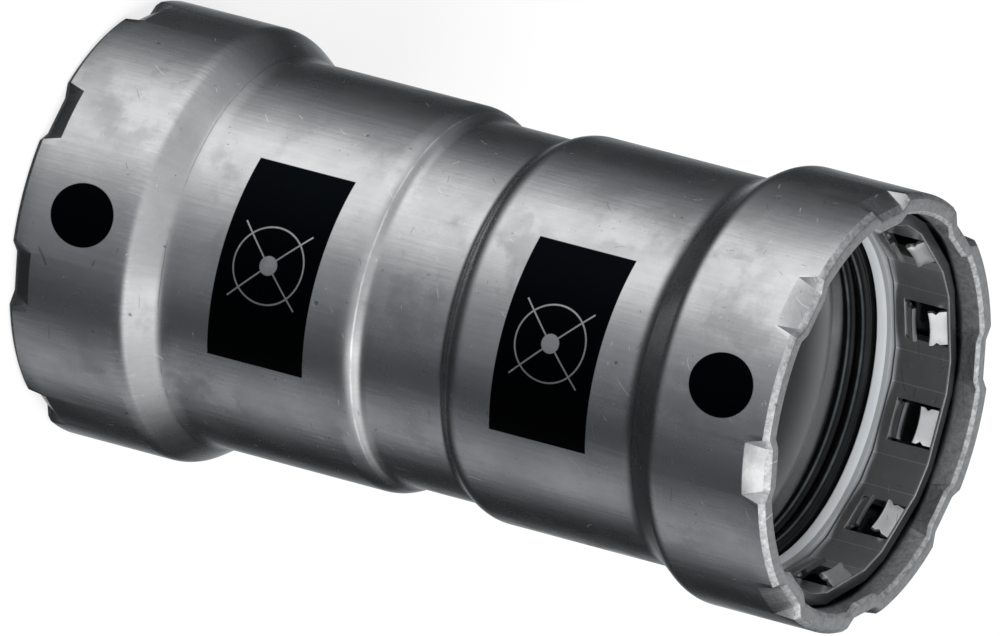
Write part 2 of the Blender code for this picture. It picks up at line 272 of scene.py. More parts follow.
def tube_sector():
    bm = bmesh.new()
    stamped, cut, inner_side = (bm.faces.layers.float.new(name) for name in ("stamped", "cut", "inner"))
    outer, inner = outer_rows(), inner_rows()
    loop = [(False, row) for row in outer] + [(True, row) for row in reversed(outer[:-1])]
    loop += [(True, row) for row in inner] + [(False, row) for row in reversed(inner[:-1])]
    rows = [sector_row(bm, upper, row) for upper, row in loop]
    for index, (upper, row) in enumerate(loop):
        after = (index + 1) % len(loop)
        depths = row[0], loop[after][1][0]
        presses = row[2], loop[after][1][2]
        for i in range(len(rows[index]) - 1):
            low, high = rows[index], rows[after]
            made = sector_cell(bm, [low[i], high[i], high[i + 1], low[i + 1]])
            on_tab = LAND_STEPS < i + 1 <= LAND_STEPS + FACET_STEPS + 2
            for face in made:
                face[stamped] = float(on_tab and max(presses) > 0)
                face[cut] = float(max(depths) < TAB_LENGTH / 2)
                face[inner_side] = float(2 * len(outer) - 1 <= index < len(loop) - 1)
    bmesh.ops.recalc_face_normals(bm, faces=bm.faces)
    return new_object("coupling_tube", bm)


tube = tube_sector()
print("one sector has", len(tube.data.polygons), "faces")

# %% [markdown]
# Nodes are added and joined with a few short helpers. Each takes plain numbers or the
# outputs of other nodes, so a formula reads from left to right.

# %% Helpers for nodes
def wire(tree, value, socket):
    """Join a node's output to a socket, or set a plain value there."""
    if isinstance(value, bpy.types.NodeSocket):
        tree.links.new(value, socket)
    else:
        socket.default_value = value


def add_node(tree, kind, inputs=(), **settings):
    made = tree.nodes.new(kind)
    for name, value in settings.items():
        setattr(made, name, value)
    for key, value in dict(inputs).items():
        wire(tree, value, made.inputs[key])
    return made


def maths(tree, operation, *values):
    inputs = dict(enumerate(values))
    return add_node(tree, "ShaderNodeMath", inputs, operation=operation).outputs[0]


def times(tree, first, second):
    return maths(tree, "MULTIPLY", first, second)


# %% [markdown]
# A Geometry Nodes tree turns the copies round the axis. It makes one point for each copy,
# puts an instance on each and turns it by its share of a full circle. Realize Instances
# makes real faces of them, and Merge by Distance closes the seams between them. The same
# tree repeats the tube's sectors, the grip ring's panels and the wedges of the turned rings.

# %% Tree that repeats a sector round the axis
REPEAT_INPUTS = {
    "Geometry": "NodeSocketGeometry",
    "Count": "NodeSocketInt",
    "Merge Distance": "NodeSocketFloat",
    "Finish": "NodeSocketMaterial",
}


def make_repeat_tree():
    tree = bpy.data.node_groups.new("repeat round the axis", "GeometryNodeTree")
    for name, kind in REPEAT_INPUTS.items():
        tree.interface.new_socket(name=name, in_out="INPUT", socket_type=kind)
    tree.interface.new_socket(name="Geometry", in_out="OUTPUT", socket_type="NodeSocketGeometry")
    enter = add_node(tree, "NodeGroupInput").outputs
    leave = add_node(tree, "NodeGroupOutput").inputs
    points = add_node(tree, "GeometryNodePoints", {"Count": enter["Count"]})
    index = add_node(tree, "GeometryNodeInputIndex")
    angle = times(tree, maths(tree, "DIVIDE", 2 * math.pi, enter["Count"]), index.outputs[0])
    turn = add_node(tree, "FunctionNodeAxisAngleToRotation", {"Axis": (0, 0, 1), "Angle": angle})
    copies = add_node(tree, "GeometryNodeInstanceOnPoints", {
        "Points": points.outputs[0],
        "Instance": enter["Geometry"],
        "Rotation": turn.outputs[0],
    })
    real = add_node(tree, "GeometryNodeRealizeInstances", {0: copies.outputs[0]})
    merge = add_node(tree, "GeometryNodeMergeByDistance", {
        "Geometry": real.outputs[0],
        "Distance": enter["Merge Distance"],
    })
    finish = add_node(tree, "GeometryNodeSetMaterial", {
        "Geometry": merge.outputs[0],
        "Material": enter["Finish"],
    })
    wire(tree, finish.outputs[0], leave[0])
    return tree


REPEAT_TREE = make_repeat_tree()
MERGE_DISTANCE = 0.002 * MM


def set_input(modifier, name, value):
    """Set a tree's input, which a modifier knows by its identifier and not by its name."""
    for item in modifier.node_group.interface.items_tree:
        if item.item_type == "SOCKET" and item.in_out == "INPUT" and item.name == name:
            modifier[item.identifier] = value


def settle(piece):
    """Replace a piece's mesh by what its modifiers make of it, and remove them."""
    bpy.context.view_layer.update()
    graph = bpy.context.evaluated_depsgraph_get()
    evaluated = piece.evaluated_get(graph)
    mesh = bpy.data.meshes.new_from_object(evaluated, preserve_all_data_layers=True, depsgraph=graph)
    piece.modifiers.clear()
    piece.data = mesh


def repeat(piece, count, finish):
    modifier = piece.modifiers.new("repeat", "NODES")
    modifier.node_group = REPEAT_TREE
    set_input(modifier, "Count", count)
    set_input(modifier, "Merge Distance", MERGE_DISTANCE)
    set_input(modifier, "Finish", finish)
    settle(piece)


# %% [markdown]
# No edge on a real part is perfectly sharp. A Bevel modifier that works only on edges
# above an angle breaks them, and the light then catches a fine line on each.

# %% Break the edges
SHARP_ANGLE = math.radians(30.0)


def break_edges(piece, width, angle=math.radians(22.0)):
    modifier = piece.modifiers.new("broken edges", "BEVEL")
    modifier.width = width
    modifier.segments = 2
    modifier.limit_method = "ANGLE"
    modifier.angle_limit = angle
    settle(piece)
    piece.data.shade_smooth()
    piece.data.set_sharp_from_angle(angle=SHARP_ANGLE)


# %% [markdown]
# Most of a finish is masks: values from 0 to 1 that say how much of something a point
# gets. These helpers make a mask from any measure, and mix colours by it.

# %% Helpers for masks and colours
def minus(tree, first, second):
    return maths(tree, "SUBTRACT", first, second)


def times_plus(tree, first, second, added):
    return maths(tree, "MULTIPLY_ADD", first, second, added)


def larger(tree, first, second):
    return maths(tree, "MAXIMUM", first, second)


def remap(tree, value, low, high, new_low=0.0, new_high=1.0, kind="SMOOTHSTEP"):
    """Smooth change from one value to another between two limits."""
    inputs = {0: value, 1: low, 2: high, 3: new_low, 4: new_high}
    return add_node(tree, "ShaderNodeMapRange", inputs, interpolation_type=kind).outputs[0]


def ramp(tree, value, low, high, new_low=0.0, new_high=1.0):
    """The same, in a straight line."""
    return remap(tree, value, low, high, new_low, new_high, "LINEAR")


def fade(tree, value, low, high):
    """1 below the low limit, 0 above the high one."""
    return remap(tree, value, low, high, 1.0, 0.0)


def apart(tree, value, centre):
    return maths(tree, "ABSOLUTE", minus(tree, value, centre))


def distance_of(tree, first, second):
    """Length of two sides at right angles."""
    squares = [maths(tree, "POWER", side, 2.0) for side in (first, second)]
    return maths(tree, "SQRT", maths(tree, "ADD", *squares))


def mix(tree, share, first, second):
    inputs = {0: share, 6: first, 7: second}
    return add_node(tree, "ShaderNodeMix", inputs, data_type="RGBA").outputs[2]


def grey(value):
    return (value, value, value, 1.0)


# %% [markdown]
# A pattern that several materials use is a shader group with named sockets. The print,
# the depth below a rim and the tent's strips all start from a point's X, Y and Z.

# %% Groups and places
def make_group(name, inputs, outputs):
    """Shader group with float inputs, or vector ones where the value is None."""
    group = bpy.data.node_groups.new(name, "ShaderNodeTree")
    for title, value in inputs.items():
        kind = "NodeSocketVector" if value is None else "NodeSocketFloat"
        socket = group.interface.new_socket(name=title, in_out="INPUT", socket_type=kind)
        if value is not None:
            socket.default_value = value
    for title in outputs:
        group.interface.new_socket(name=title, in_out="OUTPUT", socket_type="NodeSocketFloat")
    return group, add_node(group, "NodeGroupInput").outputs, add_node(group, "NodeGroupOutput").inputs


def use_group(tree, group, **inputs):
    named = {title.replace("_", " "): value for title, value in inputs.items()}
    return add_node(tree, "ShaderNodeGroup", named, node_tree=group).outputs


def parts_of(tree, position):
    """X, Y and Z of a position."""
    return add_node(tree, "ShaderNodeSeparateXYZ", {0: position}).outputs


def degrees_round(tree, parts):
    """Angle round the axis, from -180 to 180, with 0 at the printed side."""
    return maths(tree, "DEGREES", maths(tree, "ARCTAN2", parts[0], times(tree, parts[1], -1.0)))


def depth_below_rim(tree, position):
    height = parts_of(tree, position)[2]
    return maths(tree, "MINIMUM", height, minus(tree, LENGTH, height))


# %% [markdown]
# Drawing and rolling leave the steel with two patterns: soft clouds where the plating is
# uneven, and fine streaks along the tube. Both are noise. The streaks are squeezed along
# the axis, and first brought to one distance from it, so that they never run round a slope.

# %% Group for clouds and streaks
def vector(tree, operation, first, second=(0.0, 0.0, 0.0), scale=1.0):
    """Vector maths; a dot product comes out as a number."""
    made = add_node(tree, "ShaderNodeVectorMath", {0: first, 1: second, 3: scale}, operation=operation)
    return made.outputs["Value" if operation == "DOT_PRODUCT" else "Vector"]


def outward_of(tree, position):
    return vector(tree, "NORMALIZE", vector(tree, "MULTIPLY", position, (1.0, 1.0, 0.0)))


def drawn_out(tree, position, stretch):
    """The position brought to one distance from the axis, and slowed down along it."""
    round_part = vector(tree, "SCALE", outward_of(tree, position), scale=BODY_RADIUS)
    return vector(tree, "ADD", round_part, vector(tree, "MULTIPLY", position, (0.0, 0.0, stretch)))


def noise(tree, position, scale, detail=2.0, roughness=0.5, shift=0.0):
    """Noise value; a shift takes it from another place of the pattern."""
    if shift:
        position = vector(tree, "ADD", position, (shift, 0.7 * shift, 0.4 * shift))
    inputs = {"Vector": position, "Scale": scale, "Detail": detail, "Roughness": roughness}
    return add_node(tree, "ShaderNodeTexNoise", inputs).outputs[0]


def make_grain_group():
    inputs = {"Position": None, "Cloud Scale": 90.0, "Streak Scale": 900.0}
    group, enter, leave = make_group("steel grain", inputs, ["Cloud", "Streak"])
    cloud = noise(group, enter["Position"], enter["Cloud Scale"], 6.0, 0.62)
    drawn = drawn_out(group, enter["Position"], 0.05)
    streak = noise(group, drawn, enter["Streak Scale"], 4.0, 0.6)
    wire(group, ramp(group, cloud, 0.3, 0.7), leave["Cloud"])
    wire(group, ramp(group, streak, 0.3, 0.7), leave["Streak"])
    return group


GRAIN = make_grain_group()

# %% [markdown]
# Handling leaves fine scratches and small pits. A Voronoi texture cuts space into cells,
# and each cell has a random colour, which decides what lies in its middle. A few cells get
# a scratch: the colour gives its direction, length and bend, measured along the surface.
# Others get a pit, and noise bends the position first, so that no pit is quite round.

# %% Scratches
SCRATCH_BEND = 260.0
BRIGHT_SCRATCHES = [(1.0, 0.80, 1.5 * MM, 0.08 * MM), (2.3, 0.90, 0.6 * MM, 0.07 * MM)]
DARK_SCRATCHES = [(1.0, 0.78, 1.3 * MM, 0.08 * MM), (2.3, 0.86, 0.5 * MM, 0.07 * MM)]


def voronoi(tree, position, scale):
    """Outputs of the cells, and three random values of each."""
    cells = add_node(tree, "ShaderNodeTexVoronoi", {"Vector": position, "Scale": scale}).outputs
    return cells, add_node(tree, "ShaderNodeSeparateColor", {0: cells["Color"]}).outputs


def along_surface(tree, arrow, outward):
    """The part of an arrow that lies along a surface facing outward."""
    part = vector(tree, "SCALE", outward, scale=vector(tree, "DOT_PRODUCT", arrow, outward))
    return vector(tree, "SUBTRACT", arrow, part)


def scratches(tree, position, scale, rarity, longest, width):
    """A short bent line in the middle of a few Voronoi cells."""
    outward = outward_of(tree, position)
    cells, chance = voronoi(tree, position, scale)
    arrow = along_surface(tree, vector(tree, "SUBTRACT", cells["Color"], (0.5, 0.5, 0.5)), outward)
    arrow = vector(tree, "NORMALIZE", arrow)
    away = vector(tree, "SUBTRACT", position, cells["Position"])
    ahead = vector(tree, "DOT_PRODUCT", away, arrow)
    aside = vector(tree, "DOT_PRODUCT", away, vector(tree, "CROSS_PRODUCT", arrow, outward))
    bend = ramp(tree, chance[1], 0.0, 1.0, -SCRATCH_BEND, SCRATCH_BEND)
    aside = times_plus(tree, bend, times(tree, ahead, ahead), aside)
    length = ramp(tree, maths(tree, "POWER", chance[2], 2.0), 0.0, 1.0, longest * 0.15, longest)
    thin = fade(tree, maths(tree, "ABSOLUTE", aside), width * 0.3, width)
    short = fade(tree, maths(tree, "DIVIDE", maths(tree, "ABSOLUTE", ahead), length), 0.5, 1.0)
    return times(tree, times(tree, thin, short), remap(tree, chance[0], rarity, rarity + 0.01))


# %% Pits, and the group for both
PITS = [(1.0, 0.90, 0.02, 0.12), (2.7, 0.90, 0.03, 0.16)]


def pits(tree, position, scale, rarity, smallest, largest):
    """A spot in the middle of a few Voronoi cells, of varied size."""
    cells, chance = voronoi(tree, position, scale)
    reach = ramp(tree, maths(tree, "POWER", chance[1], 2.0), 0.0, 1.0, smallest, largest)
    middle = remap(tree, minus(tree, reach, cells["Distance"]), -0.03, 0.02)
    return times(tree, middle, remap(tree, chance[0], rarity, rarity + 0.01))


def strongest(tree, marks, position, scale, sets):
    """The strongest of several sets of marks, each with its share of the scale and its sizes."""
    found = 0.0
    for share, *sizes in sets:
        found = larger(tree, found, marks(tree, position, times(tree, scale, share), *sizes))
    return found


def make_marks_group():
    inputs = {"Position": None, "Scale": 200.0, "Pit Scale": 420.0}
    group, enter, leave = make_group("scratches and pits", inputs, ["Bright", "Dark", "Pit"])
    position = enter["Position"]
    other = vector(group, "ADD", position, (0.21, 0.13, 0.0))
    bend = add_node(group, "ShaderNodeTexNoise", {"Vector": position, "Scale": 2400.0, "Detail": 2.0})
    bent = vector(group, "ADD", position, vector(group, "SCALE", bend.outputs["Color"], scale=0.5 * MM))
    wire(group, strongest(group, scratches, position, enter["Scale"], BRIGHT_SCRATCHES), leave["Bright"])
    wire(group, strongest(group, scratches, other, enter["Scale"], DARK_SCRATCHES), leave["Dark"])
    wire(group, strongest(group, pits, bent, enter["Pit Scale"], PITS), leave["Pit"])
    return group


MARKS = make_marks_group()

# %% [markdown]
# Forming leaves its own traces. Where the wall was bent out to the collar the plating
# crinkles into short lines along the axis, and the tool ironed all slopes smooth. Old oil
# and water leave soft stains. A fine dark line of painted shade runs round the crease at
# the foot of the slope, and a painted highlight line lies on one step of the waist. All are
# masks, so any steel can use them.

# %% Group for the traces of forming and the painted lines
CRINKLE_FROM = 13.7 * MM
CRINKLE_TO = 16.2 * MM
FOOT_SHADE_DEPTH = 19.8 * MM
HIGHLIGHT_LINE_HEIGHT = 46.35 * MM
SLOPES = [(17.3 * MM, 1.8 * MM), (46.5 * MM, 1.2 * MM)]
WANDER = 2.2 * MM


def make_forming_and_painted_lines_group():
    outputs = ["Crinkle", "Foot Shade", "Highlight Line", "Slope", "Stain", "Wave"]
    group, enter, leave = make_group("traces of forming and painted lines", {"Position": None}, outputs)
    position = enter["Position"]
    height = parts_of(group, position)[2]
    depth = depth_below_rim(group, position)
    wander = times(group, minus(group, noise(group, position, 420.0, 3.0), 0.5), WANDER)

    band = maths(group, "ADD", depth, wander)
    crinkle = times(group, remap(group, band, CRINKLE_FROM, CRINKLE_FROM + 1.0 * MM),
                    fade(group, band, CRINKLE_TO, CRINKLE_TO + 0.7 * MM))
    crinkle = times(group, crinkle, remap(group, height, 0.45 * LENGTH, 0.55 * LENGTH, 1.0, 0.3))
    drawn = drawn_out(group, position, 0.14)
    crinkle = times(group, crinkle, ramp(group, noise(group, drawn, 2600.0, 1.0), 0.42, 0.80))

    # Painted shade: a fine dark line in the crease at the foot of the collar slope.
    off = apart(group, times_plus(group, wander, 0.12, depth), FOOT_SHADE_DEPTH)
    foot = times(group, fade(group, off, 0.03 * MM, 0.11 * MM),
                 remap(group, noise(group, position, 160.0, 3.0, 0.6, 0.8), 0.40, 0.55))
    # Painted highlight: a bright line round one step of the waist, at the lower end.
    off = apart(group, times_plus(group, wander, 0.06, height), HIGHLIGHT_LINE_HEIGHT)
    highlight_line = times(group, fade(group, off, 0.02 * MM, 0.16 * MM),
                   remap(group, noise(group, position, 300.0, 3.0, 0.6, 0.5), 0.35, 0.60, 0.25, 1.0))
    slope = 0.0
    for middle, half in SLOPES:
        slope = larger(group, slope, fade(group, apart(group, depth, middle), half, 2 * half))
    stain = times(group, remap(group, noise(group, position, 130.0, 5.0, 0.62, 0.4), 0.46, 0.62),
                  remap(group, noise(group, position, 45.0, 2.0, 0.5, 1.3), 0.42, 0.60))
    wave = noise(group, position, 85.0, 2.0, 0.45, 2.0)
    for title, value in zip(outputs, (crinkle, foot, highlight_line, slope, stain, wave)):
        wire(group, value, leave[title])
    return group


FORMING_AND_PAINTED_LINES = make_forming_and_painted_lines_group()

# %% [markdown]
# The black print is a dot on each collar and a dark panel on each socket. In each panel
# is a plain thin ring with a hub and two crossing lines. The marks are masks in unrolled
# coordinates, the height and the distance round the tube, and they stay out of the bore.

# %% Helpers for the print
PRINT_SOFT = 0.09 * MM
PRINT_FROM_RADIUS = 23.2 * MM
DOT_HEIGHT = 8.7 * MM
DOT_WIDTH = 7.8 * MM
PANEL_HEIGHT = 13.4 * MM
PANEL_SIDE_SOFT = 0.25
PANEL_SHEAR = -0.018 * MM
MARK_RADIUS = 4.75 * MM
MARK_LINE = 0.2 * MM
MARK_CROSS_LINE = 0.28 * MM
MARK_REACH = 6.6 * MM
MARK_HUB = 1.2 * MM
DOTS = [(9.0 * MM, 2.5), (98.48 * MM, 2.9)]
PANELS = [(33.75 * MM, 3.3, 30.5), (73.34 * MM, 4.3, 29.8)]


def inside(tree, distance, limit, soft=PRINT_SOFT):
    """1 where a distance is below a limit, with a soft edge."""
    return ramp(tree, distance, limit - soft / 2, limit + soft / 2, 1.0, 0.0)


def dot_mask(tree, height, degrees, centre, turn):
    sideways = times(tree, minus(tree, degrees, turn), math.radians(COLLAR_RADIUS))
    up = maths(tree, "DIVIDE", minus(tree, height, centre), DOT_HEIGHT / 2)
    side = maths(tree, "DIVIDE", sideways, DOT_WIDTH / 2)
    return inside(tree, distance_of(tree, up, side), 1.0, 2 * PRINT_SOFT / DOT_WIDTH)


def panel_masks(tree, height, degrees, centre, turn, half):
    """Mask of a dark panel, and of the thin lines in it."""
    off = minus(tree, degrees, turn)
    up = minus(tree, height, times_plus(tree, off, PANEL_SHEAR, centre))
    side = times(tree, off, math.radians(BODY_RADIUS))
    panel = times(tree, inside(tree, maths(tree, "ABSOLUTE", up), PANEL_HEIGHT / 2),
                  inside(tree, maths(tree, "ABSOLUTE", off), half, PANEL_SIDE_SOFT))
    reach = distance_of(tree, up, side)
    ring = inside(tree, apart(tree, reach, MARK_RADIUS), MARK_LINE / 2)
    falling = maths(tree, "ABSOLUTE", maths(tree, "ADD", up, side))
    diagonal = maths(tree, "MINIMUM", apart(tree, up, side), falling)
    cross = times(tree, inside(tree, diagonal, MARK_CROSS_LINE / 2), inside(tree, reach, MARK_REACH))
    lines = larger(tree, larger(tree, ring, cross), inside(tree, reach, MARK_HUB))
    return panel, times(tree, lines, panel)


# %% Group for the print
def make_print_group():
    group, enter, leave = make_group("black print", {"Position": None}, ["Ink", "Line"])
    parts = parts_of(group, enter["Position"])
    place = (parts[2], degrees_round(group, parts))
    radius = distance_of(group, parts[0], parts[1])
    outside = remap(group, radius, PRINT_FROM_RADIUS, PRINT_FROM_RADIUS + 0.1 * MM)
    ink = 0.0
    lines = 0.0
    for dot in DOTS:
        ink = larger(group, ink, dot_mask(group, *place, *dot))
    for panel in PANELS:
        field, line = panel_masks(group, *place, *panel)
        ink = larger(group, ink, field)
        lines = larger(group, lines, line)
    wire(group, times(group, ink, outside), leave["Ink"])
    wire(group, times(group, lines, outside), leave["Line"])
    return group


PRINT = make_print_group()

# %% [markdown]
# All four materials start alike: a Principled shader, the clouds and streaks at their own
# scale, and Object coordinates, which stay with the piece. Colours are then laid over each
# other like coats of paint, each by its mask.

# %% Helpers for materials
def new_material(name, cloud_scale, streak_scale):
    """Material, its tree, shader and Object coordinates, and its clouds and streaks."""
    material = bpy.data.materials.new(name)
    material.use_nodes = True
    tree = material.node_tree
    position = add_node(tree, "ShaderNodeTexCoord").outputs["Object"]
    grain = use_group(tree, GRAIN, Position=position, Cloud_Scale=cloud_scale, Streak_Scale=streak_scale)
    return material, tree, tree.nodes["Principled BSDF"], position, grain


def set_shader(tree, shader, **values):
    """Set or join a shader's sockets, with _ for the spaces in their names."""
    for title, value in values.items():
        wire(tree, value, shader.inputs[title.replace("_", " ")])


def tinted(value):
    """A grey with the faint blue of a zinc plating, stronger where it is dark."""
    lean = 0.003 + 0.08 * (1 - min(value, 1.0)) ** 4
    return (value * (1 - lean), value, value * (1 + lean), 1.0)


def bump(tree, height, distance, shader, under=None):
    """Bump on top of another one, if there is one."""
    made = add_node(tree, "ShaderNodeBump", {"Height": height, "Strength": 1.0, "Distance": distance})
    if under:
        wire(tree, under, made.inputs["Normal"])
    wire(tree, made.outputs[0], shader.inputs["Normal"])
    return made.outputs[0]


def painted(tree, colour, layers):
    """Colour under layers of (mask, share of the mask, shade), the last one on top."""
    for mask, share, shade in layers:
        colour = mix(tree, times(tree, mask, share), colour, shade)
    return colour


# %% [markdown]
# The inside of the tube is coloured by its depth below the rim. The mouth is lighter,
# partly where the saw and the press rubbed it and partly as painted light. The pocket
# behind the rings is darkened as painted shade, and the bore gets a painted glimmer that
# fades with its depth.

# %% Shades of the inside
MOUTH_ENDS = 3.6 * MM
CONE_STARTS = 17.0 * MM
BORE_STARTS = 19.4 * MM
PAINTED_GLIMMER_LENGTH = 4.6 * MM


def face_mask(tree, name):
    return add_node(tree, "ShaderNodeAttribute", attribute_name=name).outputs["Fac"]


def inner_masks(tree, inner, depth):
    """Masks of the mouth, the pocket's painted shade, the bore and its painted glimmer."""
    mouth_wear_and_painted_light = fade(tree, depth, MOUTH_ENDS - 1.2 * MM, MOUTH_ENDS)
    painted_pocket_shade = remap(tree, depth, MOUTH_ENDS - 1.0 * MM, MOUTH_ENDS, 0.1, 0.95)
    painted_pocket_shade = minus(tree, painted_pocket_shade, remap(tree, depth, CONE_STARTS, CONE_STARTS + 0.8 * MM, 0.0, 0.17))
    bore = remap(tree, depth, BORE_STARTS, BORE_STARTS + 0.6 * MM)
    painted_pocket_shade = times(tree, painted_pocket_shade, minus(tree, 1.0, bore))
    painted_glimmer = times(tree, bore, fade(tree, depth, BORE_STARTS, BORE_STARTS + PAINTED_GLIMMER_LENGTH))
    return [times(tree, inner, mask) for mask in (mouth_wear_and_painted_light, painted_pocket_shade, bore, painted_glimmer)]


# %% [markdown]
# Satin plated steel is a metal of middling roughness. The clouds change its colour and
# its roughness together, as stains do, and the streaks mostly its height. The tabs and the
# cut rim are coarser and lighter where the press has rubbed them, but the sawn face itself
# is dull. The print lies on top.

# %% Plated steel
INK = (0.0022, 0.0030, 0.0040, 1.0)


def make_plated_steel():
    material, tree, shader, position, grain = new_material("plated steel", 110.0, 1500.0)
    marks = use_group(tree, MARKS, Position=position, Scale=190.0, Pit_Scale=430.0)
    traces_and_painted_lines = use_group(tree, FORMING_AND_PAINTED_LINES, Position=position)
    ink = use_group(tree, PRINT, Position=position)
    stamped, cut, inner = (face_mask(tree, name) for name in ("stamped", "cut", "inner"))
    depth = depth_below_rim(tree, position)
    mouth_wear_and_painted_light, painted_pocket_shade, bore, painted_glimmer = inner_masks(tree, inner, depth)
    sawn = times(tree, cut, fade(tree, depth, 0.01 * MM, 0.05 * MM))
    coarse = ramp(tree, noise(tree, position, 1400.0, 4.0, 0.7, 0.6), 0.35, 0.65)
    colour = painted(tree, mix(tree, grain["Cloud"], tinted(0.46), tinted(0.60)), [
        (grain["Streak"], 0.3, tinted(0.66)),
        (traces_and_painted_lines["Stain"], 0.5, tinted(0.30)),
        (stamped, 0.35, mix(tree, coarse, tinted(0.60), tinted(0.75))),
        (cut, 0.85, mix(tree, coarse, tinted(0.42), tinted(0.80))),
        (sawn, 0.7, tinted(0.16)),
        # Lighter mouth: partly rubbed steel, partly painted light.
        (mouth_wear_and_painted_light, 0.6, mix(tree, coarse, tinted(0.45), tinted(0.95))),
        (traces_and_painted_lines["Crinkle"], 0.22, tinted(0.88)),
        # Painted shade in the crease at the foot of the collar slope.
        (traces_and_painted_lines["Foot Shade"], 0.5, tinted(0.18)),
        # Painted highlight line on one step of the waist.
        (traces_and_painted_lines["Highlight Line"], 0.65, tinted(1.0)),
        (marks["Dark"], 0.45, tinted(0.15)),
        (marks["Bright"], 0.6, tinted(0.92)),
        (marks["Pit"], 0.6, tinted(0.10)),
        # Painted shade in the pocket behind the rings.
        (painted_pocket_shade, 1.0, tinted(0.04)),
        # Painted glimmer in the bore, fading with depth.
        (painted_glimmer, 0.95, tinted(1.0)),
        (ink["Ink"], minus(tree, 1.0, times(tree, ink["Line"], 0.9)), INK),
    ])
    rough = ramp(tree, grain["Cloud"], 0.0, 1.0, 0.30, 0.22)
    for mask, share in (
        (traces_and_painted_lines["Stain"], 0.08),
        (cut, 0.12),
        (marks["Bright"], 0.2),
        (ink["Ink"], 0.08),
        (larger(tree, mouth_wear_and_painted_light, bore), 0.25),
        (painted_glimmer, 0.25),
    ):
        rough = times_plus(tree, mask, share, rough)
    set_shader(tree, shader, Base_Color=colour, Roughness=rough, Metallic=1.0)
    wave = bump(tree, traces_and_painted_lines["Wave"], 0.16 * MM, shader)
    height = times_plus(tree, grain["Streak"], 0.35, times(tree, grain["Cloud"], 0.8))
    height = times(tree, height, times_plus(tree, traces_and_painted_lines["Slope"], -0.8, 1.0))
    height = times_plus(tree, traces_and_painted_lines["Crinkle"], 0.35, height)
    worked = larger(tree, times(tree, stamped, 0.2), cut)
    height = times_plus(tree, times(tree, coarse, worked), 1.5, height)
    bump(tree, height, 0.02 * MM, shader, wave)
    return material


repeat(tube, TAB_COUNT, make_plated_steel())
break_edges(tube, 0.07 * MM)
print("tube has", len(tube.data.polygons), "faces")

# %% [markdown]
# The grip ring is a strip of hard spring steel, bent into eleven flat panels with a
# window each, and eleven plain ones between them. From both ends of each window a tongue
# is lanced inwards, and its tip bites on the pipe. One window with half a plain panel at
# each side is made here, and the repeating tree turns it eleven times.

# %% Sizes of the grip ring
WINDOW_COUNT = 11
WINDOW_SHARE = 0.685
GRIP_PITCH = 2 * math.pi / WINDOW_COUNT
WINDOW_HALF = GRIP_PITCH * WINDOW_SHARE / 2
PLAIN_HALF = GRIP_PITCH / 2 - WINDOW_HALF
GRIP_THICKNESS = 1.4 * MM
WINDOW_WIDTH = 5.2 * MM
WINDOW_LENGTH = 5.9 * MM
FRONT_WEB = 0.4 * MM
GRIP_FRONT, GRIP_BACK = depths_of("upper_grip_ring")
WINDOW_FRONT = GRIP_FRONT + FRONT_WEB
WINDOW_BACK = WINDOW_FRONT + WINDOW_LENGTH
print("grip ring lies", round(GRIP_FRONT / MM, 2), "to", round(GRIP_BACK / MM, 2), "mm deep")


# %% One panel of the grip ring
def across(angle, radius):
    """A corner of the strip as (sideways, outwards) from the middle of its window."""
    return radius * math.sin(angle), radius * math.cos(angle)


def place(sideways, outwards, z):
    """Turn a panel's own place to the first window, which is at the back."""
    return Vector((-sideways, outwards, z))


def panel_edges(rows, columns):
    """Pairs of (row, column) along the plate's outline and along its window."""
    pairs = []
    for col in range(columns - 1):
        pairs += [((0, col), (0, col + 1)), ((rows - 1, col), (rows - 1, col + 1))]
    for row in range(rows - 1):
        pairs += [((row, 0), (row + 1, 0)), ((row, columns - 1), (row + 1, columns - 1))]
    return pairs + [((1, 2), (1, 3)), ((2, 2), (2, 3)), ((1, 2), (2, 2)), ((1, 3), (2, 3))]


def panel_plate(upper):
    """Flat strip with one window, closed at its ends so that the tongues can be joined."""
    bm = bmesh.new()
    depths = [GRIP_FRONT, WINDOW_FRONT, WINDOW_BACK, GRIP_BACK]
    layers = []
    for radius in (RING_RADIUS, RING_RADIUS - GRIP_THICKNESS):
        half = [
            across(GRIP_PITCH / 2, radius * math.cos(PLAIN_HALF)),
            across(WINDOW_HALF, radius),
            (WINDOW_WIDTH / 2, radius * math.cos(WINDOW_HALF)),
        ]
        line = [(-side, out) for side, out in half] + half[::-1]
        layers.append([[bm.verts.new(place(s, o, at_end(upper, d))) for s, o in line] for d in depths])
    outer, inner = layers
    columns = len(outer[0])
    for row in range(len(depths) - 1):
        for col in range(columns - 1):
            if (row, col) == (1, 2):
                continue
            for layer in layers:
                cell = (layer[row][col], layer[row][col + 1], layer[row + 1][col + 1], layer[row + 1][col])
                bm.faces.new(cell)
    for a, b in panel_edges(len(depths), columns):
        bm.faces.new((outer[a[0]][a[1]], outer[b[0]][b[1]], inner[b[0]][b[1]], inner[a[0]][a[1]]))
    bmesh.ops.recalc_face_normals(bm, faces=bm.faces)
    return bm


# %% [markdown]
# A tongue is a closed strip of its own, joined to the plate by a Boolean union. It leans
# in from the plate's inner face, its tip follows the pipe's round outside, and a small
# notch in each of its sides lets it spring.

# %% A tongue
TONGUE_WIDTH = 4.5 * MM
TONGUE_THICKNESS = 0.6 * MM
TONGUE_ANGLE = math.radians(38.0)
TONGUE_BITE = 0.1 * MM
TONGUE_ROOT = 0.2 * MM
TONGUE_INSET = 0.1 * MM
TONGUE_NOTCH = 0.35 * MM
TONGUE_COLUMNS = 4
PLATE_INSIDE = (RING_RADIUS - GRIP_THICKNESS) * math.cos(WINDOW_HALF)


def tongue_side(root_depth, way, start, tip, reach, notch):
    """(depth, outwards, cut in) along one face of a tongue, from its root to its tip."""
    line = [(root_depth - way * TONGUE_ROOT, start, 0.0)]
    for share, cut_in in ((0.0, 0.0), (0.42, 0.0), (0.6, notch), (0.78, 0.0), (1.0, 0.0)):
        line.append((root_depth + way * reach * share, start + (tip - start) * share, cut_in))
    return line


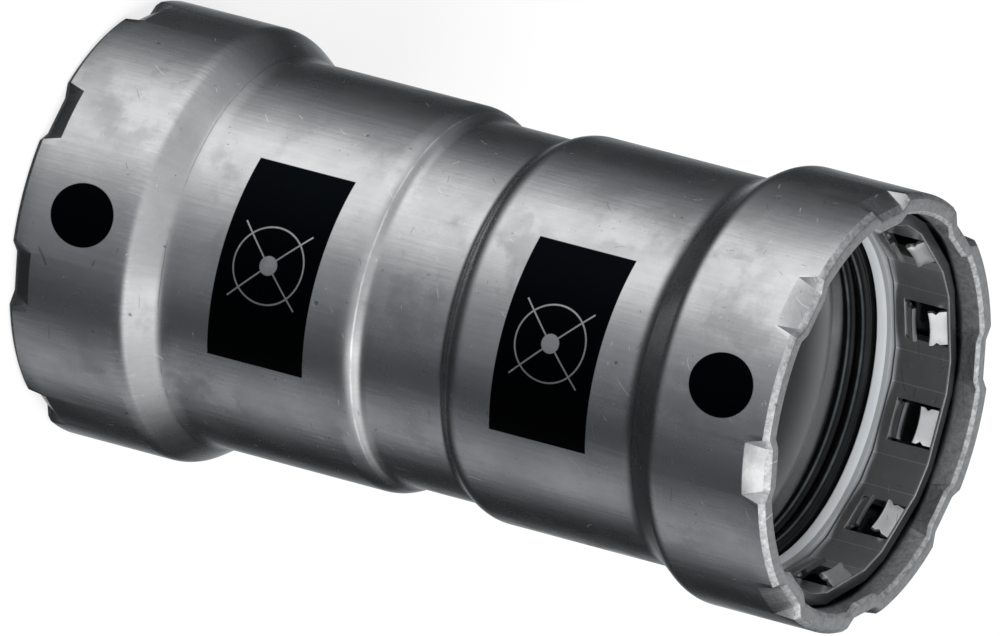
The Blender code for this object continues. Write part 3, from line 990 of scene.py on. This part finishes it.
def tongue(bm, upper, root_depth, way):
    """Lanced tongue; way is 1 from the front end of the window, and -1 from the back."""
    start = PLATE_INSIDE + TONGUE_INSET
    outer = start + TONGUE_THICKNESS / math.cos(TONGUE_ANGLE)
    skew = TONGUE_THICKNESS * math.sin(TONGUE_ANGLE)
    rise = TONGUE_THICKNESS * math.cos(TONGUE_ANGLE)
    rings = []
    for column in range(TONGUE_COLUMNS + 1):
        side = TONGUE_WIDTH * (column / TONGUE_COLUMNS - 0.5)
        notch = math.copysign(TONGUE_NOTCH, side) if column in (0, TONGUE_COLUMNS) else 0.0
        tip = math.sqrt((PIPE_RADIUS - TONGUE_BITE) ** 2 - side ** 2)
        reach = (start - tip) / math.tan(TONGUE_ANGLE)
        outline = tongue_side(root_depth, way, start, tip, reach, notch)
        outline += reversed(tongue_side(root_depth, way, outer, tip + rise, reach + skew, notch))
        rings.append([bm.verts.new(place(side - cut_in, out, at_end(upper, depth)))
                      for depth, out, cut_in in outline])
    count = len(rings[0])
    for first, second in zip(rings, rings[1:]):
        for i in range(count):
            bm.faces.new((first[i], first[(i + 1) % count], second[(i + 1) % count], second[i]))
    for ring in (rings[0], rings[-1]):
        for i in range(count // 2 - 1):
            bm.faces.new((ring[i], ring[i + 1], ring[count - 2 - i], ring[count - 1 - i]))
    bmesh.ops.recalc_face_normals(bm, faces=bm.faces)


# %% Join the tongues and open the ends
def join_solids(piece, tool):
    """Boolean union, then the tool is removed."""
    modifier = piece.modifiers.new("union", "BOOLEAN")
    modifier.operation = "UNION"
    modifier.solver = "EXACT"
    modifier.object = tool
    settle(piece)
    bpy.data.objects.remove(tool, do_unlink=True)


END_SLACK = 0.001


def open_ends(piece):
    """Remove the faces at both ends of the sector, where its neighbours join on."""
    bm = bmesh.new()
    bm.from_mesh(piece.data)
    limit = math.tan(GRIP_PITCH / 2) - END_SLACK
    ends = [f for f in bm.faces if all(abs(v.co.x) > limit * v.co.y for v in f.verts)]
    bmesh.ops.delete(bm, geom=ends, context="FACES")
    bm.to_mesh(piece.data)
    bm.free()
    return len(ends)


# %% [markdown]
# Hardened spring steel is darker than the tube and polished by its rolling. Its flat
# panels mirror the light one by one, which is what makes the ring read as facets. Its
# front face is dark with a painted highlight line along its edge, painted highlight lines
# run along the bends, and the tongues at the back get painted shade.

# %% Spring steel
FOLD_HIGHLIGHT_WIDTH = math.radians(0.22)


def painted_fold_highlights(tree, parts):
    """Painted highlight lines along the bends, at both sides of each window, from the angle round the
    axis.
    """
    turn = maths(tree, "ARCTAN2", parts[0], parts[1])
    share = maths(tree, "WRAP", turn, GRIP_PITCH / 2, -GRIP_PITCH / 2)
    off = apart(tree, maths(tree, "ABSOLUTE", share), WINDOW_HALF)
    return fade(tree, off, FOLD_HIGHLIGHT_WIDTH / 2, FOLD_HIGHLIGHT_WIDTH)


def shaded_back_tongues(tree, parts, depth):
    """Painted shade on the tongues at the back edge of each window."""
    middle = WINDOW_FRONT + WINDOW_LENGTH / 2
    radius = distance_of(tree, parts[0], parts[1])
    within = fade(tree, radius, PLATE_INSIDE - 0.3 * MM, PLATE_INSIDE)
    return times(tree, remap(tree, depth, middle, middle + 0.8 * MM), within)


def make_spring_steel():
    material, tree, shader, position, grain = new_material("spring steel", 240.0, 2200.0)
    marks = use_group(tree, MARKS, Position=position, Scale=330.0, Pit_Scale=800.0)
    parts = parts_of(tree, position)
    depth = depth_below_rim(tree, position)
    inwards = minus(tree, depth, GRIP_FRONT)
    colour = painted(tree, mix(tree, grain["Cloud"], tinted(0.50), tinted(0.62)), [
        (marks["Bright"], 0.7, tinted(0.9)),
        (marks["Dark"], 0.5, tinted(0.15)),
        (marks["Pit"], 0.6, tinted(0.08)),
        # Painted highlight lines along the bends.
        (painted_fold_highlights(tree, parts), 0.6, tinted(1.0)),
        # Painted shade on the back tongues.
        (shaded_back_tongues(tree, parts, depth), 0.85, tinted(0.08)),
        # Painted highlight line along the front edge; the front face itself is dark.
        (fade(tree, inwards, 0.18 * MM, 0.24 * MM), 1.0, tinted(1.0)),
        (fade(tree, inwards, 0.005 * MM, 0.02 * MM), 1.0, tinted(0.07)),
    ])
    rough = ramp(tree, grain["Cloud"], 0.0, 1.0, 0.36, 0.27)
    set_shader(tree, shader, Base_Color=colour, Roughness=rough, Metallic=0.94)
    bump(tree, grain["Streak"], 0.0012 * MM, shader)
    return material


SPRING_STEEL = make_spring_steel()


def make_grip_ring(end):
    upper = end == "upper"
    ring = new_object(end + "_grip_strip", panel_plate(upper))
    for root, way in ((WINDOW_FRONT, 1), (WINDOW_BACK, -1)):
        bm = bmesh.new()
        tongue(bm, upper, root, way)
        join_solids(ring, new_object("tongue", bm))
    removed = open_ends(ring)
    repeat(ring, WINDOW_COUNT, SPRING_STEEL)
    break_edges(ring, 0.14 * MM, math.radians(35.0))
    print(ring.name, "has", len(ring.data.polygons), "faces;", removed, "end faces opened")
    return ring


ENDS = ("upper", "lower")
grip_rings = [make_grip_ring(end) for end in ENDS]

# %% [markdown]
# The separator ring and the seal are turned shapes. A thin wedge of each profile, turned
# 144 times by the same tree, gives the full ring. The seal has two round beads on its
# bore, which the pipe squeezes.

# %% Turned rings
WEDGE_COUNT = 144
SEPARATOR_FRONT, SEPARATOR_BACK = depths_of("upper_separator_ring")
SEPARATOR_BORE = PIPE_RADIUS + 0.5 * MM
SEPARATOR_TAPER = 0.3 * MM
SEPARATOR_CHAMFER = 0.2 * MM
SEAL_SQUEEZE = 0.6 * MM
SEAL_BEAD_DEPTH = 0.8 * MM
SEAL_BEADS = 2
SEAL_BEAD_LENGTH = (SEAL_BACK - SEAL_FRONT) / SEAL_BEADS
SEAL_BEAD_STEPS = 16


def separator_profile():
    return [
        (SEPARATOR_FRONT, RING_RADIUS),
        (SEPARATOR_BACK, RING_RADIUS),
        (SEPARATOR_BACK, SEPARATOR_BORE + SEPARATOR_CHAMFER),
        (SEPARATOR_BACK - SEPARATOR_CHAMFER, SEPARATOR_BORE),
        (SEPARATOR_FRONT, SEPARATOR_BORE + SEPARATOR_TAPER),
    ]


def seal_profile():
    lip = PIPE_RADIUS - SEAL_SQUEEZE
    bevel_gap = RING_CLEARANCE / math.cos(COLLAR_SLOPE)
    bevel_start = POCKET_END + (RING_CLEARANCE - bevel_gap) / math.tan(COLLAR_SLOPE)
    back_radius = RING_RADIUS - (SEAL_BACK - bevel_start) * math.tan(COLLAR_SLOPE)
    profile = [(SEAL_FRONT, RING_RADIUS), (bevel_start, RING_RADIUS), (SEAL_BACK, back_radius)]
    half = SEAL_BEAD_LENGTH / 2
    for bead in range(SEAL_BEADS):
        middle = SEAL_BACK - (2 * bead + 1) * half
        for step in range(SEAL_BEAD_STEPS + (bead == SEAL_BEADS - 1)):
            turn = math.pi * step / SEAL_BEAD_STEPS
            radius = lip + SEAL_BEAD_DEPTH * (1 - math.sin(turn))
            profile.append((middle + half * math.cos(turn), radius))
    return profile


def make_turned_ring(name, profile, upper, finish, edge):
    bm = bmesh.new()
    sides = []
    for angle in (0.0, 2 * math.pi / WEDGE_COUNT):
        sides.append([bm.verts.new(polar(r, angle, at_end(upper, d))) for d, r in profile])
    for i in range(len(profile)):
        j = (i + 1) % len(profile)
        bm.faces.new((sides[0][i], sides[0][j], sides[1][j], sides[1][i]))
    piece = new_object(name, bm)
    repeat(piece, WEDGE_COUNT, finish)
    bm = bmesh.new()
    bm.from_mesh(piece.data)
    bmesh.ops.recalc_face_normals(bm, faces=bm.faces)
    bm.to_mesh(piece.data)
    bm.free()
    break_edges(piece, edge)
    print(name, "has", len(piece.data.polygons), "faces")
    return piece


# %% [markdown]
# The separator is smooth bright steel with a trace of grease, so it is only partly a
# mirror, and its front edge is darkened as painted shade from the grip ring before it. The
# rubber is black and glossy, with a little bloom that softens its shine, and a soft painted
# highlight line lies on the crest of each bead.

# %% Bright steel and rubber
SEPARATOR_SHADE_DEPTH = 0.5 * MM
CREST_WIDTH = 0.26 * MM
CREST_SHARE = 0.42
CREST_SHEEN_COLOUR = (0.12, 0.14, 0.15, 1.0)


def make_bright_steel():
    material, tree, shader, position, grain = new_material("bright steel", 160.0, 1400.0)
    inwards = minus(tree, depth_below_rim(tree, position), SEPARATOR_FRONT)
    # Painted shade on the front half millimetre, behind the grip ring.
    shaded_front = fade(tree, inwards, SEPARATOR_SHADE_DEPTH, SEPARATOR_SHADE_DEPTH + 0.12 * MM)
    colour = mix(tree, grain["Cloud"], (0.86, 0.90, 0.94, 1.0), (0.94, 0.98, 1.0, 1.0))
    colour = painted(tree, colour, [(shaded_front, 0.75, tinted(0.22))])
    rough = ramp(tree, grain["Cloud"], 0.0, 1.0, 0.42, 0.34)
    set_shader(tree, shader, Base_Color=colour, Roughness=rough, Metallic=0.3)
    bump(tree, grain["Streak"], 0.005 * MM, shader)
    return material


def make_rubber():
    material, tree, shader, position, grain = new_material("seal rubber", 300.0, 700.0)
    inwards = minus(tree, depth_below_rim(tree, position), SEAL_FRONT)
    share = maths(tree, "WRAP", inwards, SEAL_BEAD_LENGTH, 0.0)
    # Painted highlight: a soft light line on the crest of each bead.
    crest_sheen = fade(tree, apart(tree, share, SEAL_BEAD_LENGTH * CREST_SHARE), 0.0, CREST_WIDTH)
    sheen_share = remap(tree, grain["Cloud"], 0.0, 1.0, 0.5, 1.0)
    colour = mix(tree, grain["Cloud"], grey(0.003), grey(0.007))
    colour = painted(tree, colour, [(crest_sheen, sheen_share, CREST_SHEEN_COLOUR)])
    rough = ramp(tree, grain["Cloud"], 0.0, 1.0, 0.22, 0.14)
    set_shader(tree, shader, Base_Color=colour, Roughness=rough)
    set_shader(tree, shader, Specular_IOR_Level=0.2, Specular_Tint=(0.84, 0.94, 1.0, 1.0))
    bump(tree, grain["Cloud"], 0.006 * MM, shader)
    return material


BRIGHT_STEEL = make_bright_steel()
RUBBER = make_rubber()
separators = []
seals = []
for end in ENDS:
    upper = end == "upper"
    made = make_turned_ring(end + "_separator", separator_profile(), upper, BRIGHT_STEEL, 0.05 * MM)
    separators.append(made)
    made = make_turned_ring(end + "_rubber_seal", seal_profile(), upper, RUBBER, 0.08 * MM)
    seals.append(made)

# %% [markdown]
# The camera stands three metres away with a long lens, raised by 28 degrees and rolled so
# that the upright tube lies across the picture, its upper end to the right and towards us.

# %% Camera
CAMERA_DISTANCE = 3.0
CAMERA_RISE = math.radians(28.044)
CAMERA_ROLL = math.radians(14.735)
CAMERA_LENS = 898.7
CAMERA_SIDE = 0.06 * MM
CAMERA_DOWN = 0.38 * MM

level = Vector((0.0, math.sin(CAMERA_RISE), math.cos(CAMERA_RISE)))
right = Vector((-math.sin(CAMERA_ROLL), 0.0, 0.0)) + level * math.cos(CAMERA_ROLL)
up = Vector((-math.cos(CAMERA_ROLL), 0.0, 0.0)) - level * math.sin(CAMERA_ROLL)
back = Vector((0.0, -math.cos(CAMERA_RISE), math.sin(CAMERA_RISE)))
lens = bpy.data.cameras.new("camera")
lens.lens = CAMERA_LENS
lens.sensor_width = 36.0
lens.clip_start = 0.1
lens.clip_end = 20.0
camera = bpy.data.objects.new("camera", lens)
bpy.context.scene.collection.objects.link(camera)
target = Vector((0, 0, HALF_LENGTH)) + right * CAMERA_SIDE - up * CAMERA_DOWN
turned = Matrix((right, up, back)).transposed().to_4x4()
camera.matrix_world = Matrix.Translation(target + back * CAMERA_DISTANCE) @ turned
bpy.context.scene.camera = camera
print("camera looks at", [round(c, 4) for c in target])

# %% [markdown]
# The studio is a white floor and a white surround. Polished metal shows what stands
# around it, so a photographer puts up a tent with lighter and darker strips. Here the
# tent is a large ball that only reflections see. Its strips depend on the direction round
# the axis, in three belts: the dark ground, what lies just below the horizon, and above it.

# %% Strips of the tent
TENT_RADIUS = 1.2
TENT_STRENGTH = 2.0
LOW_STRIPS = [
    (-180, 0.34), (-172, 0.33), (-158, 0.09), (-144, 0.02), (-124, 0.02), (-110, 0.06), (-98, 0.13),
    (-84, 0.28), (-68, 0.60), (-54, 0.67), (-38, 0.63), (-24, 0.42), (-10, 0.23), (0, 0.18),
    (14, 0.14), (28, 0.10), (42, 0.05), (58, 0.03), (70, 0.11), (88, 0.22), (98, 0.21),
    (112, 0.05), (126, 0.01), (146, 0.01), (158, 0.10), (172, 0.33), (180, 0.34),
]
HIGH_STRIPS = [
    (-180, 0.50), (-160, 0.20), (-146, 0.08), (-130, 0.10), (-90, 0.22), (-60, 0.32), (-46, 0.27),
    (-30, 0.38), (0, 0.42), (24, 0.42), (40, 0.78), (62, 0.66), (80, 0.60), (110, 0.60),
    (128, 0.50), (144, 0.28), (164, 0.40), (180, 0.50),
]
BOTTOM_STRIPS = [
    (-180, 0.03), (-150, 0.02), (-128, 0.012), (-110, 0.02), (-60, 0.02), (0, 0.02), (60, 0.012),
    (130, 0.012), (160, 0.02), (180, 0.05),
]


def strip_ramp(tree, degrees, strips):
    made = add_node(tree, "ShaderNodeValToRGB", {0: ramp(tree, degrees, -180.0, 180.0)})
    made.color_ramp.interpolation = "LINEAR"
    stops = made.color_ramp.elements
    while len(stops) < len(strips):
        stops.new(0.5)
    for stop, (angle, value) in zip(stops, strips):
        stop.position = (angle + 180) / 360
        stop.color = tinted(value)
    return made.outputs[0]


def make_tent():
    bm = bmesh.new()
    bmesh.ops.create_icosphere(bm, subdivisions=4, radius=TENT_RADIUS)
    tent = new_object("light_tent", bm)
    material = bpy.data.materials.new("tent cloth")
    material.use_nodes = True
    material.cycles.emission_sampling = "NONE"
    tree = material.node_tree
    tree.nodes.clear()
    parts = parts_of(tree, add_node(tree, "ShaderNodeTexCoord").outputs["Object"])
    degrees = degrees_round(tree, parts)
    bottom, low, high = (strip_ramp(tree, degrees, s) for s in (BOTTOM_STRIPS, LOW_STRIPS, HIGH_STRIPS))
    above_ground = remap(tree, parts[2], -0.86 * TENT_RADIUS, -0.52 * TENT_RADIUS)
    above_horizon = remap(tree, parts[2], 0.10 * TENT_RADIUS, 0.62 * TENT_RADIUS)
    colour = mix(tree, above_horizon, mix(tree, above_ground, bottom, low), high)
    glow = add_node(tree, "ShaderNodeEmission", {"Color": colour, "Strength": TENT_STRENGTH})
    leave = add_node(tree, "ShaderNodeOutputMaterial")
    wire(tree, glow.outputs[0], leave.inputs["Surface"])
    tent.data.materials.append(material)
    for ray in ("camera", "diffuse", "transmission", "volume_scatter", "shadow"):
        setattr(tent, "visible_" + ray, False)


make_tent()

# %% [markdown]
# The floor is a white sheet. Seen by the camera it is mostly plain white, and the rest of
# it is lit as any matt surface, so the coupling keeps its soft shadow.

# %% Floor, surround and lamp
FLOOR_RADIUS = 2.5
FLOOR_SHADE = 0.3


def seen_directly(tree):
    """1 for camera, glossy and transmission rays."""
    path = add_node(tree, "ShaderNodeLightPath").outputs
    seen = larger(tree, path["Is Camera Ray"], path["Is Glossy Ray"])
    return larger(tree, seen, path["Is Transmission Ray"])


def make_floor():
    bm = bmesh.new()
    bmesh.ops.create_circle(bm, cap_ends=True, segments=96, radius=FLOOR_RADIUS)
    floor = new_object("floor", bm)
    material = bpy.data.materials.new("white floor")
    material.use_nodes = True
    tree = material.node_tree
    matt = tree.nodes["Principled BSDF"]
    set_shader(tree, matt, Base_Color=grey(0.9), Roughness=0.9, Specular_IOR_Level=0.0)
    glow = add_node(tree, "ShaderNodeEmission", {"Color": grey(1.0), "Strength": 1.0})
    share = times(tree, seen_directly(tree), 1 - FLOOR_SHADE)
    both = add_node(tree, "ShaderNodeMixShader", {0: share, 1: matt.outputs[0], 2: glow.outputs[0]})
    wire(tree, both.outputs[0], tree.nodes["Material Output"].inputs["Surface"])
    floor.data.materials.append(material)
    floor.visible_glossy = False


def make_surround():
    world = bpy.data.worlds.new("white surround")
    bpy.context.scene.world = world
    world.use_nodes = True
    world.cycles.sampling_method = "NONE"
    tree = world.node_tree
    strength = times_plus(tree, seen_directly(tree), 0.2, 0.8)
    background = tree.nodes["Background"]
    background.inputs["Color"].default_value = grey(1.0)
    wire(tree, strength, background.inputs["Strength"])


def make_lamp(name, place_of_lamp, size, power):
    data = bpy.data.lights.new(name, "AREA")
    data.shape = "DISK"
    data.size = size
    data.energy = power
    lamp = bpy.data.objects.new(name, data)
    bpy.context.scene.collection.objects.link(lamp)
    lamp.location = place_of_lamp
    aim = Vector((0, 0, HALF_LENGTH)) - Vector(place_of_lamp)
    lamp.rotation_euler = aim.to_track_quat("-Z", "Y").to_euler()
    lamp.visible_camera = False
    lamp.visible_glossy = False


make_floor()
make_surround()
make_lamp("top lamp", (0.3, -0.6, 1.1), size=0.7, power=12.0)

# %% [markdown]
# Every piece rides on the coupling's one body, and stands for the imported node whose place
# it takes.

# %% Hand the pieces over
def hand_over(piece, node):
    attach(piece, "root")
    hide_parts(node)


hand_over(tube, "coupling_body")
for end, ring, separator, seal in zip(ENDS, grip_rings, separators, seals):
    hand_over(ring, end + "_grip_ring")
    hand_over(separator, end + "_separator_ring")
    hand_over(seal, end + "_seal")

bpy.context.scene.view_settings.view_transform = "Standard"
